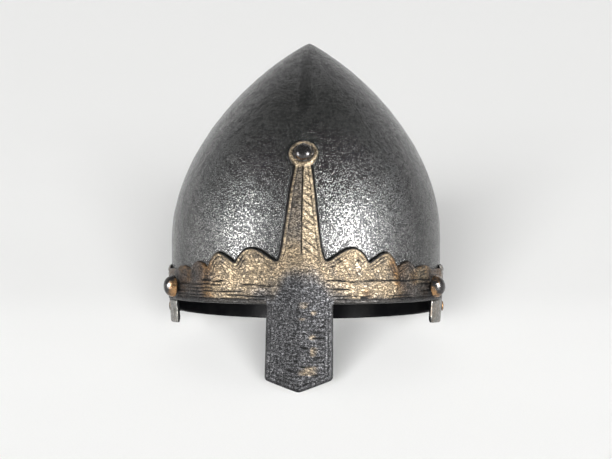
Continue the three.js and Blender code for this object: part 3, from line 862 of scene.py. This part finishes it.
# The room in reflections: its brightness at each end of a reach along an axis, which points back and down.
# The backdrop is the brightness that the camera sees.
ROOM_AXIS, ROOM_REACH, ROOM_BRIGHTNESS = (0, 0.93, -0.36), (0.15, 0.62), (0.13, 1.0)
BACKDROP = 0.88


def make_floor():
    """A pale woven cloth out to the horizon, with painted shade making it a little greyer behind the helmet.
    """
    mesh = bpy.data.meshes.new("floor")
    corners = [(x * FLOOR_HALF, y * FLOOR_HALF, 0) for x, y in ((-1, -1), (1, -1), (1, 1), (-1, 1))]
    mesh.from_pydata(corners, [], [(0, 1, 2, 3)])
    n = Nodes("pale_cloth")
    weave = n.noise(900, 2, 0.5)
    split = n.add("ShaderNodeSeparateXYZ")
    n.link(n.place, split.inputs[0])
    cloth = n.mix(n.span(weave, 0.3, 0.7), (0.90, 0.90, 0.89, 1), (0.93, 0.93, 0.92, 1))
    # Painted shade: the cloth greys behind the helmet, where less light falls.
    color = n.mix(n.span(split.outputs["Y"], SHADE_FROM_Y, SHADE_TO_Y), cloth, (0.87, 0.87, 0.86, 1))
    mesh.materials.append(n.finish(color, 0.9, 0.0, n.bump(weave, 0.0002, 0.3)))
    floor = bpy.data.objects.new("floor", mesh)
    bpy.context.scene.collection.objects.link(floor)


def aim(thing, target):
    thing.rotation_euler = (Vector(target) - thing.location).to_track_quat("-Z", "Y").to_euler()


def direction(azimuth, elevation):
    """The unit vector at degrees from the front towards the right, and degrees up."""
    a, e = math.radians(azimuth), math.radians(elevation)
    return Vector((math.sin(a) * math.cos(e), -math.cos(a) * math.cos(e), math.sin(e)))


def make_softbox(name, azimuth, power):
    """A soft box that shows in reflections and doesn't light the cloth."""
    light = bpy.data.lights.new(name, "AREA")
    light.shape = "RECTANGLE"
    light.size, light.size_y = SOFTBOX_SIZE
    light.energy = power
    lamp = bpy.data.objects.new(name, light)
    lamp.location = direction(azimuth, SOFTBOX_ELEVATION) * SOFTBOX_DISTANCE
    lamp.visible_diffuse = False
    bpy.context.scene.collection.objects.link(lamp)
    aim(lamp, (0, 0, 0.1))


def make_cloth_sun(azimuth, elevation, strength, across):
    """A soft sun that lights the cloth and doesn't show in reflections."""
    sun = bpy.data.lights.new("cloth_fill", "SUN")
    sun.energy, sun.angle = strength, math.radians(across)
    lamp = bpy.data.objects.new("cloth_fill", sun)
    lamp.location = direction(azimuth, elevation)
    lamp.visible_glossy = False
    bpy.context.scene.collection.objects.link(lamp)
    aim(lamp, (0, 0, 0))


def make_room():
    """A room that reflects dark in front and white behind and doesn't light the cloth. The camera sees it
    as an even pale backdrop."""
    world = bpy.data.worlds.new("studio")
    world.use_nodes = True
    tree = world.node_tree
    place = tree.nodes.new("ShaderNodeTexCoord")
    along = tree.nodes.new("ShaderNodeVectorMath")
    along.operation = "DOT_PRODUCT"
    along.inputs[1].default_value = ROOM_AXIS
    fade = tree.nodes.new("ShaderNodeMapRange")
    fade.interpolation_type = "SMOOTHSTEP"
    for key, value in enumerate((0, *ROOM_REACH, *ROOM_BRIGHTNESS)):
        fade.inputs[key].default_value = value
    tree.links.new(place.outputs["Generated"], along.inputs[0])
    tree.links.new(along.outputs["Value"], fade.inputs[0])
    seen = tree.nodes.new("ShaderNodeMix")
    seen.inputs[3].default_value = BACKDROP
    tree.links.new(tree.nodes.new("ShaderNodeLightPath").outputs["Is Camera Ray"], seen.inputs[0])
    tree.links.new(fade.outputs[0], seen.inputs[2])
    tree.links.new(seen.outputs[0], tree.nodes["Background"].inputs["Strength"])
    tree.nodes["Background"].inputs["Color"].default_value = (1, 1, 1, 1)
    world.cycles_visibility.diffuse = False
    bpy.context.scene.world = world


def make_lights():
    """Two soft boxes and a room for the metal to mirror, and three suns for the cloth."""
    for name, azimuth, power in SOFTBOXES:
        make_softbox(name, azimuth, power)
    for azimuth, elevation, strength, across in CLOTH_SUNS:
        make_cloth_sun(azimuth, elevation, strength, across)
    make_room()
    bpy.context.scene.view_settings.view_transform = "Standard"


def make_camera():
    """Level in the helmet's own frame, a little to its right of straight ahead."""
    data = bpy.data.cameras.new("camera")
    data.lens, data.sensor_width = CAMERA_LENS, SENSOR_WIDTH
    camera = bpy.data.objects.new("camera", data)
    yaw = math.radians(CAMERA_YAW)
    own = Matrix.Rotation(yaw, 4, "Z") @ Matrix.Translation((0, -CAMERA_DISTANCE * MM, CAMERA_HEIGHT * MM))
    camera.matrix_world = PLACE @ own @ Matrix.Rotation(math.pi / 2, 4, "X")
    bpy.context.scene.collection.objects.link(camera)
    bpy.context.scene.camera = camera


make_skull()
make_brow_band()
make_neck_band()
make_rivets()
make_floor()
make_lights()
make_camera()
